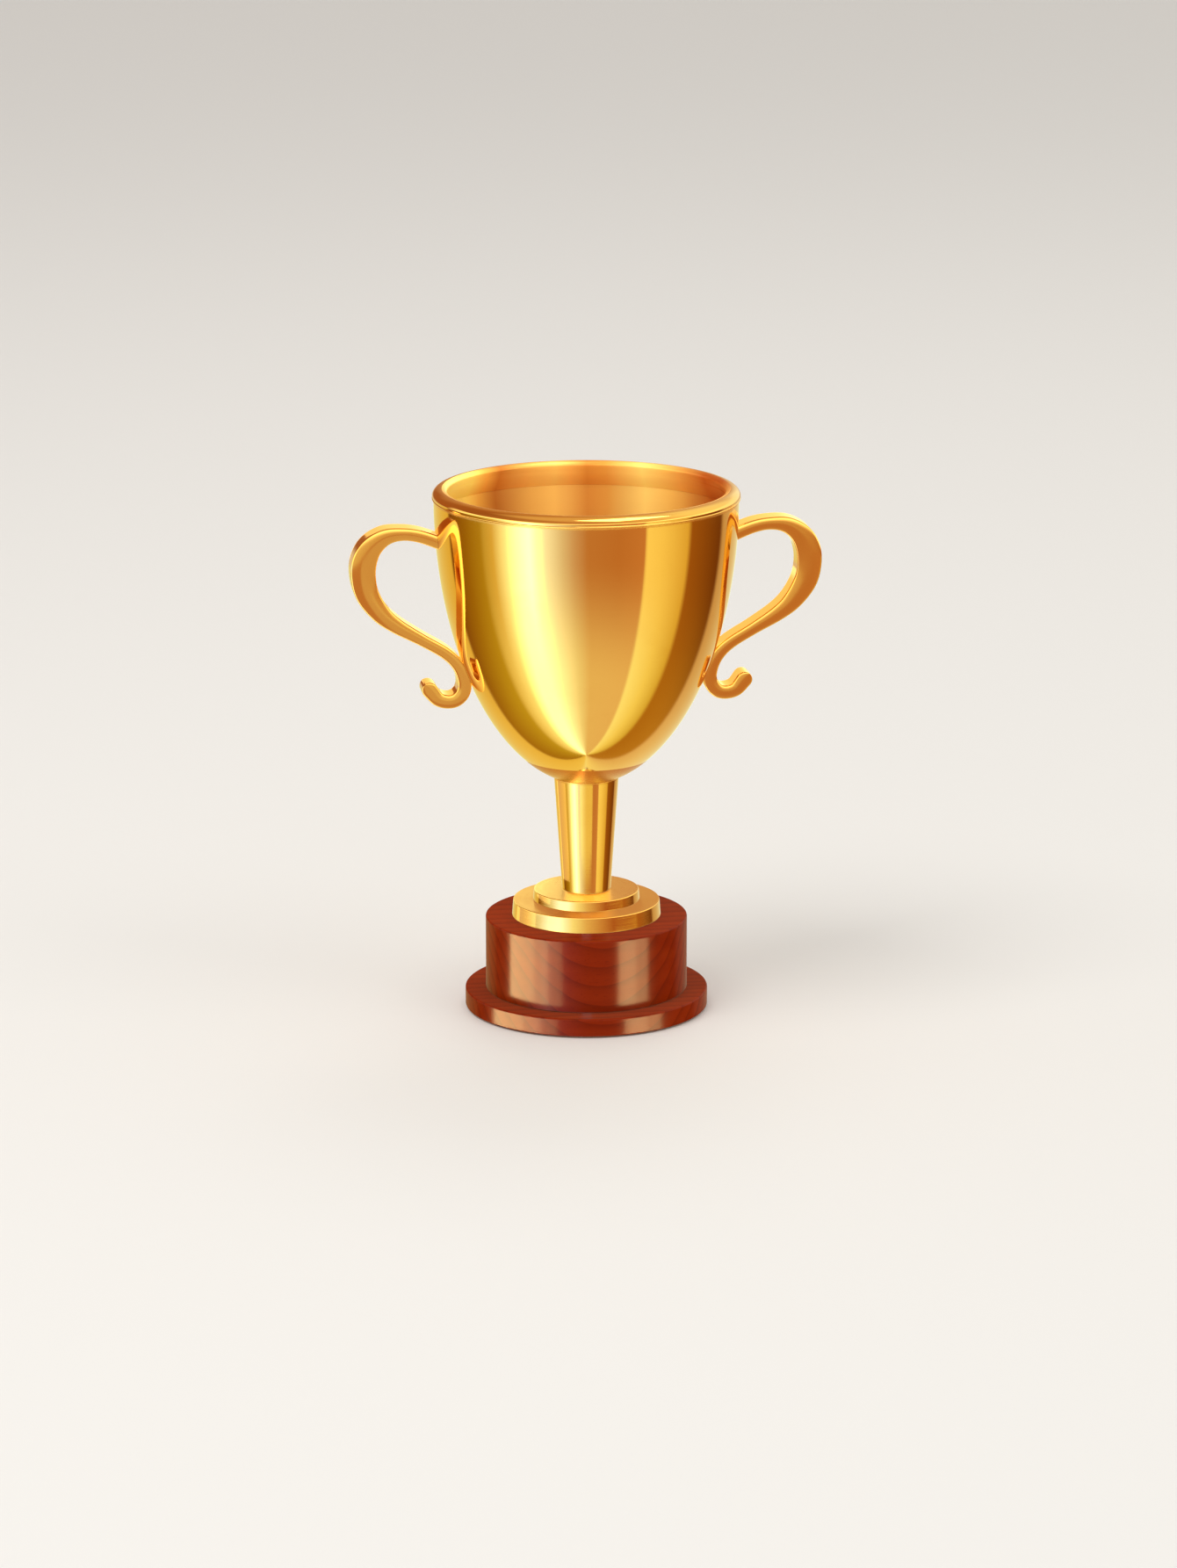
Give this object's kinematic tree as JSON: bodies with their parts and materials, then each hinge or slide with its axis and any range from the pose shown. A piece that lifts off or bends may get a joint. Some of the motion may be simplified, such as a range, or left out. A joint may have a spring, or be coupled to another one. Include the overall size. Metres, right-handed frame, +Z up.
{
  "type": "cup trophy",
  "caption": "Presentation cup: an open bowl with a rolled rim and scroll handles, on a tapered stem, stepped discs and a turned wood plinth.",
  "frame": {"origin": "on the standing surface, under the axis of the cup", "axes": "+Z up along the cup's axis; the two handles lie along X; Y is the depth"},
  "size_m": [0.2662, 0.1724, 0.3],
  "materials": {
    "gold_plate": "gold-plated brass, mirror polished",
    "mahogany_lacquer": "stained mahogany under gloss lacquer",
    "zinc_steel": "zinc-plated steel",
    "cast_iron": "machined casting with a black oxide skin",
    "baize": "glued baize pad"
  },
  "bodies": {
    "root": {"cup_bowl": "gold_plate", "rim_ring": "gold_plate", "bowl_spreader_washer": "gold_plate", "dome_nut": "gold_plate", "stem": "gold_plate", "foot_disc_upper": "gold_plate", "foot_disc_lower": "gold_plate", "handle_left": "gold_plate", "handle_right": "gold_plate", "handle_screw_left_upper": "gold_plate", "handle_screw_left_lower": "gold_plate", "handle_screw_right_upper": "gold_plate", "handle_screw_right_lower": "gold_plate", "handle_washer_left_upper": "gold_plate", "handle_washer_left_lower": "gold_plate", "handle_washer_right_upper": "gold_plate", "handle_washer_right_lower": "gold_plate", "plinth_drum": "mahogany_lacquer", "plinth_foot": "mahogany_lacquer", "tie_rod": "zinc_steel", "penny_washer": "zinc_steel", "spring_washer": "zinc_steel", "hex_nut": "zinc_steel", "plinth_screw_1": "zinc_steel", "plinth_screw_2": "zinc_steel", "plinth_screw_3": "zinc_steel", "plinth_screw_4": "zinc_steel", "ballast_disc": "cast_iron", "base_felt": "baize"}
  },
  "joints": []
}
